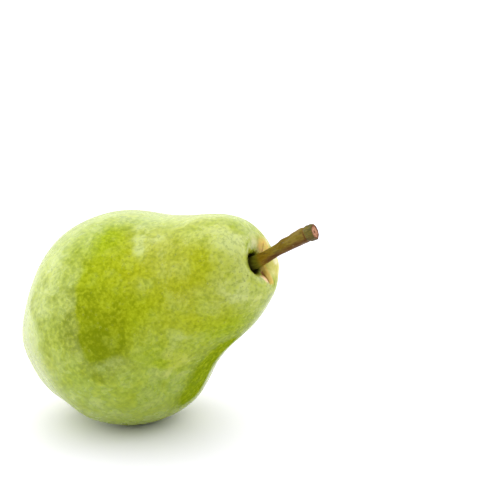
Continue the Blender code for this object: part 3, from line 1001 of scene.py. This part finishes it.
def fine_cup():
    """Points of the calyx cup, with folds that fade out towards its middle."""
    angle = round_angles(CALYX_CUP_SIDES)
    profile = smooth_line(CALYX_CUP, np.linspace(0, 1, CALYX_CUP_ROWS))[1:-1]
    radius = profile[:, :1]
    grid = np.empty((len(profile), CALYX_CUP_SIDES, 3))
    grid[..., 0] = CALYX_CENTRE[0] + radius * np.cos(angle)
    grid[..., 1] = CALYX_CENTRE[1] + radius * np.sin(angle)
    grid[..., 2] = profile[:, 1:]
    folds = CALYX_FOLD_HEIGHT * np.cos(CALYX_FOLDS * angle) * np.clip(radius / CALYX_FOLD_RADIUS, 0, 1)
    relief = folds + CALYX_GRAIN_HEIGHT * waves(grid, CALYX_GRAIN_LENGTH)
    return grid + grid_normals(grid) * relief[..., None]


def fine_sepal(angle, curl, width_share, seed):
    """Points of one sepal, which arches over, with ragged edges, veins and its own curl near the tip."""
    line = smooth_line(SEPAL_LINE, np.linspace(0, 1, SEPAL_ROWS))
    turn = round_angles(SEPAL_SIDES)
    grid = np.empty((SEPAL_ROWS, SEPAL_SIDES, 3))
    for row, (reach, height, width) in enumerate(line):
        bend = curl * (row / (SEPAL_ROWS - 1)) ** 2
        half = width * width_share / 2
        ragged = 1 + SEPAL_RAGGED * noise.noise(Vector((row * SEPAL_RAGGED_STEP, seed, 0)))
        arch = SEPAL_CUP * half * np.cos(turn) ** 2
        thick = SEPAL_FLATNESS * min(SEPAL_THICKNESS, width) / 2 * np.sin(turn)
        twist = SEPAL_TWIST * math.sin(row * SEPAL_TWIST_STEP + seed) * np.cos(turn)
        away = height * math.cos(bend) - SEPAL_CURL_DROP * reach * math.sin(bend)
        grid[row, :, 0] = reach * math.cos(bend) - height * math.sin(bend)
        grid[row, :, 1] = half * ragged * np.cos(turn)
        grid[row, :, 2] = away + thick - arch + twist
    veins = SEPAL_VEIN_HEIGHT * np.cos(SEPAL_VEINS * turn)
    relief = veins + SEPAL_GRAIN_HEIGHT * waves(grid + seed * SEPAL_SEED_SHIFT, SEPAL_GRAIN_LENGTH)
    relief = relief * np.linspace(1, SEPAL_TIP_RELIEF, SEPAL_ROWS)[:, None]
    grid += grid_normals(grid) * relief[..., None]
    spin = np.array(Matrix.Rotation(angle, 3, "Z"))
    return grid @ spin.T + np.array((*CALYX_CENTRE, 0.0))


def fine_stamen(angle, lean, length):
    """Points of one dried stamen: a thin wavy thread with a thicker head."""
    foot = np.array((STAMEN_CIRCLE * math.cos(angle), STAMEN_CIRCLE * math.sin(angle), STAMEN_FOOT))
    way = np.array((math.cos(angle) * lean, math.sin(angle) * lean, -1.0))
    turn = round_angles(STAMEN_SIDES)
    across = np.stack([np.cos(turn), np.sin(turn), 0 * turn], axis=-1)
    shares = np.linspace(0, 1, STAMEN_ROWS)
    widths = smooth_line(np.array(STAMEN_WIDTHS)[:, None], shares)[:, 0]
    rings = []
    for share, width in zip(shares, widths):
        swing = (math.sin(share * STAMEN_SWING_X + angle), math.cos(share * STAMEN_SWING_Y + angle), 0.0)
        middle = foot + share * length * way + share * STAMEN_SWING * np.array(swing)
        rings.append(middle + STAMEN_RADIUS * width * across)
    return np.array(rings) + np.array((*CALYX_CENTRE, 0.0))


def add_calyx(place):
    """The dried flower end: the cup, its sepals and its stamens, joined into one piece."""
    chance = np.random.default_rng(CALYX_SEED)
    grids = [fine_cup()]
    for i in range(SEPAL_COUNT):
        angle = 2 * math.pi * i / SEPAL_COUNT + chance.uniform(*SEPAL_TURN)
        curl = chance.uniform(*SEPAL_CURL)
        width = chance.uniform(*SEPAL_WIDTH)
        grids.append(fine_sepal(angle, curl, width, i * SEPAL_SEED_STEP))
    for i in range(STAMEN_COUNT):
        angle = 2 * math.pi * i / STAMEN_COUNT + chance.uniform(*STAMEN_TURN)
        lean = chance.uniform(*STAMEN_LEAN)
        length = STAMEN_LENGTH * chance.uniform(*STAMEN_SHARE)
        grids.append(fine_stamen(angle, lean, length))
    points = []
    faces = []
    count = 0
    for grid in grids:
        more, rings = closed_rings(grid)
        points.append(more)
        faces += [[i + count for i in face] for face in rings]
        count += len(more)
    mesh = mesh_of_points("dry_calyx", np.vstack(points), faces, {}, place)
    return add_piece(mesh, calyx_material())


def add_floor():
    """A large sheet of white paper, just under the pear."""
    corners = [(x * FLOOR_HALF, y * FLOOR_HALF, 0) for x, y in ((-1, -1), (1, -1), (1, 1), (-1, 1))]
    mesh = bpy.data.meshes.new("white_table")
    mesh.from_pydata(corners, [], [(0, 1, 2, 3)])
    n = Nodes("white_paper")
    soft = n.noise(n.place(), 40, 2.0, 0.5)
    n.finish({"Base Color": n.mix(soft, *FLOOR_COLOURS), "Roughness": 0.6, "Specular IOR Level": 0.2})
    floor = add_piece(mesh, n.material)
    floor.location.z = -FLOOR_GAP
    return floor


def add_surroundings():
    """Light from each direction, as the values above say, and a plain backdrop for the camera."""
    world = bpy.data.worlds.new("studio")
    bpy.context.scene.world = world
    world.use_nodes = True
    tree = world.node_tree
    background = tree.nodes["Background"]
    way = tree.nodes.new("ShaderNodeTexCoord")
    parts = tree.nodes.new("ShaderNodeSeparateXYZ")
    tree.links.new(way.outputs["Generated"], parts.inputs["Vector"])

    def ramp(axis, limits, ends):
        """A smooth change between two values along one axis of the direction."""
        node = tree.nodes.new("ShaderNodeMapRange")
        node.interpolation_type = "SMOOTHSTEP"
        node.inputs["From Min"].default_value, node.inputs["From Max"].default_value = limits
        node.inputs["To Min"].default_value, node.inputs["To Max"].default_value = ends
        tree.links.new(parts.outputs[axis], node.inputs["Value"])
        return node.outputs["Result"]

    def product(a, b):
        """One value times the other."""
        node = tree.nodes.new("ShaderNodeMath")
        node.operation = "MULTIPLY"
        tree.links.new(a, node.inputs[0])
        tree.links.new(b, node.inputs[1])
        return node.outputs["Value"]

    def blend(share, a, b):
        """From a to b by this share."""
        node = tree.nodes.new("ShaderNodeMapRange")
        for name, value in (("Value", share), ("To Min", a), ("To Max", b)):
            tree.links.new(value, node.inputs[name])
        return node.outputs["Result"]

    dimmer = product(ramp("Z", ABOVE_RISE, (1.0, ABOVE_SHARE)), ramp("Y", BACK_RISE, (1.0, BACK_SHARE)))
    paper = product(ramp("Z", WALL_RISE, (WALL_LOW, WALL_HIGH)), dimmer)
    shaded = product(paper, ramp("Z", RIGHT_RISE, (RIGHT_SHARE, 1.0)))
    paper = blend(ramp("X", RIGHT_SIDE, (0.0, 1.0)), paper, shaded)
    front = product(ramp("Y", OPEN_FRONT, (0.0, 1.0)), ramp("X", OPEN_LEFT, (0.0, 1.0)))
    strength = blend(front, paper, ramp("Z", OPEN_RISE, (OPEN_LOW, OPEN_HIGH)))

    # Whichever way a view looks, the backdrop behind the table shows as plain white.
    seen = tree.nodes.new("ShaderNodeLightPath").outputs["Is Camera Ray"]
    backdrop = tree.nodes.new("ShaderNodeValue").outputs["Value"]
    backdrop.default_value = BACKDROP
    tree.links.new(blend(seen, strength, backdrop), background.inputs["Strength"])
    background.inputs["Color"].default_value = (1.0, 1.0, 1.0, 1.0)


def add_camera(place):
    """The camera of the photo: level to the right, and looking down at the pear."""
    pitch = math.radians(CAMERA_PITCH_DEG)
    right = Vector((1, 0, 0))
    up = Vector((0, math.sin(pitch), math.cos(pitch)))
    back = Vector((0, -math.cos(pitch), math.sin(pitch)))
    lens = bpy.data.cameras.new("camera")
    lens.lens = CAMERA_LENS
    lens.sensor_width = CAMERA_SENSOR
    camera = bpy.data.objects.new("camera", lens)
    bpy.context.scene.collection.objects.link(camera)
    middle = place @ Vector((0, 0, CORE_MIDDLE * MM))
    camera.location = middle + CAMERA_RIGHT * right + CAMERA_UP * up + CAMERA_BACK * back
    camera.rotation_euler = (math.pi / 2 - pitch, 0, 0)
    bpy.context.scene.camera = camera


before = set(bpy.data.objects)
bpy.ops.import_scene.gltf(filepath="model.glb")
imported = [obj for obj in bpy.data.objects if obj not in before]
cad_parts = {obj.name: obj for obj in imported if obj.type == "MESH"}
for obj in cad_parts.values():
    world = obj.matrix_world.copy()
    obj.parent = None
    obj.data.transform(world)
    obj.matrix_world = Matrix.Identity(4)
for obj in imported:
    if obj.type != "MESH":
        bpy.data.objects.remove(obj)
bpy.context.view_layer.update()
place = placing()
for piece, node, slot in (
    (add_skin(place), "pear_body", "skin"),
    (add_stem(place), "stem", "stem_bark"),
    (add_calyx(place), "calyx", "dry_calyx"),
):
    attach(piece, "root")
    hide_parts(node)
add_floor()
add_surroundings()
add_camera(place)
bpy.context.scene.view_settings.view_transform = "Standard"
